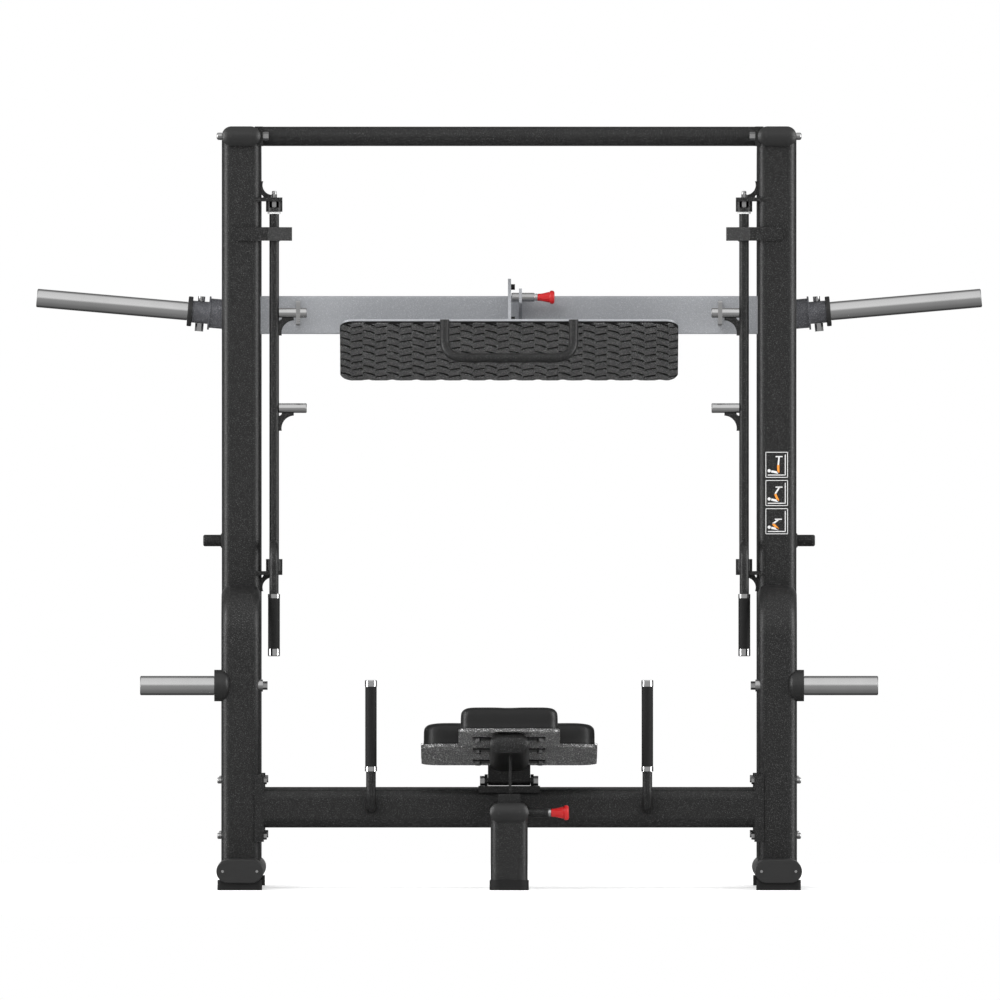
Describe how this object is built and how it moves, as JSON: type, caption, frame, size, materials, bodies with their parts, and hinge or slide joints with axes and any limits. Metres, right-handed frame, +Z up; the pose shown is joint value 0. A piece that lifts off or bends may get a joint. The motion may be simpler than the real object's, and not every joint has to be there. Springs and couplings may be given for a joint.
{
  "type": "vertical leg press",
  "caption": "Plate-loaded vertical leg press: two side frames, a guided carriage with weight horns, tilting foot plate, catch levers and an inclined back and head bench.",
  "frame": {"origin": "on the floor, at the middle of the overall width and depth", "axes": "+Z up, +X to the right of someone facing the foot of the frame from the head end, +Y from the head end of the bench to the rear uprights"},
  "size_m": [2.4398, 1.4662, 1.961],
  "materials": {
    "black_paint": "fine textured powder coat",
    "silver_paint": "silver-grey metallic powder coat",
    "chrome": "polished chrome",
    "zinc_steel": "zinc plated",
    "black_plastic": "moulded, fine grain",
    "black_rubber": "matt rubber",
    "upholstery": "black gym vinyl",
    "red_plastic": "moulded",
    "white_nylon": "natural nylon"
  },
  "bodies": {
    "frame": {"base_rails": "black_paint", "front_uprights": "black_paint", "front_legs": "black_paint", "rear_uprights": "black_paint", "rail_end_plates": "black_plastic", "rubber_feet": "black_rubber", "tube_end_caps": "black_plastic", "front_crossbeam": "black_paint", "rear_crossbeam": "black_paint", "top_tie_bar": "black_paint", "storage_horns": "chrome", "storage_collars": "black_plastic", "guide_rods": "chrome", "rod_collars": "zinc_steel", "stop_rails": "black_paint", "lever_brackets": "black_paint", "lever_washers": "white_nylon", "floor_grip_tubes": "black_paint", "floor_grip_sleeves": "black_rubber", "floor_grip_ends": "chrome", "bench_rail": "black_paint", "bench_post": "black_paint", "bench_pivot_bracket": "black_paint", "bench_pin_barrel": "black_paint", "frame_bolts": "zinc_steel"},
    "carriage": {"carriage_beam": "silver_paint", "bearing_housings": "silver_paint", "linear_bearings": "zinc_steel", "horn_sleeves": "silver_paint", "weight_horns": "chrome", "horn_stop_rings": "black_plastic", "horn_bolts": "zinc_steel", "catch_hooks": "zinc_steel", "foot_plate_brackets": "silver_paint", "foot_pin_barrel": "zinc_steel"},
    "foot_plate": {"foot_plate": "silver_paint", "tread_mat": "black_rubber", "foot_hinge_pins": "chrome", "foot_plate_sector": "silver_paint", "sector_bumpers": "black_rubber", "foot_plate_handle": "black_paint"},
    "foot_plate_pin": {"foot_pin_plunger": "chrome", "foot_pin_knob": "red_plastic"},
    "bench": {"bench_tube": "black_paint", "bench_cross_plates": "black_paint", "pad_bolts": "zinc_steel", "pad_boards": "black_plastic", "head_pad": "upholstery", "back_pad": "upholstery", "bench_sector": "black_paint"},
    "bench_pin": {"bench_pin_plunger": "chrome", "bench_pin_knob": "red_plastic"},
    "catch_lever_left": {"lever_shaft_left": "black_paint", "catch_pins_left": "chrome", "lever_grip_left": "black_rubber", "lever_grip_ends_left": "chrome"},
    "catch_lever_right": {"lever_shaft_right": "black_paint", "catch_pins_right": "chrome", "lever_grip_right": "black_rubber", "lever_grip_ends_right": "chrome"}
  },
  "joints": [
    {"name": "carriage_slide", "type": "slide", "parent": "frame", "child": "carriage", "axis": [0, 0, 1], "range_m": [0, 0.29]},
    {"name": "foot_plate_tilt", "type": "hinge", "parent": "carriage", "child": "foot_plate", "pos_m": [0, 0.096, 1.41], "axis": [-1, 0, 0], "range_deg": [0, 15]},
    {"name": "foot_plate_pin_pull", "type": "slide", "parent": "carriage", "child": "foot_plate_pin", "axis": [1, 0, 0], "range_m": [0, 0.012], "stiffness_N_per_m": 1500, "springref_m": -0.004},
    {"name": "bench_tilt", "type": "hinge", "parent": "frame", "child": "bench", "pos_m": [0, -0.254, 0.277], "axis": [-1, 0, 0], "range_deg": [0, 16]},
    {"name": "bench_pin_pull", "type": "slide", "parent": "frame", "child": "bench_pin", "axis": [1, 0, 0], "range_m": [0, 0.012], "stiffness_N_per_m": 1500, "springref_m": -0.004},
    {"name": "catch_lever_left_swing", "type": "hinge", "parent": "frame", "child": "catch_lever_left", "pos_m": [-0.605, -0.064, 1.2], "axis": [0, 0, 1], "range_deg": [0, 70]},
    {"name": "catch_lever_right_swing", "type": "hinge", "parent": "frame", "child": "catch_lever_right", "pos_m": [0.605, -0.064, 1.2], "axis": [0, 0, -1], "range_deg": [0, 70]}
  ]
}
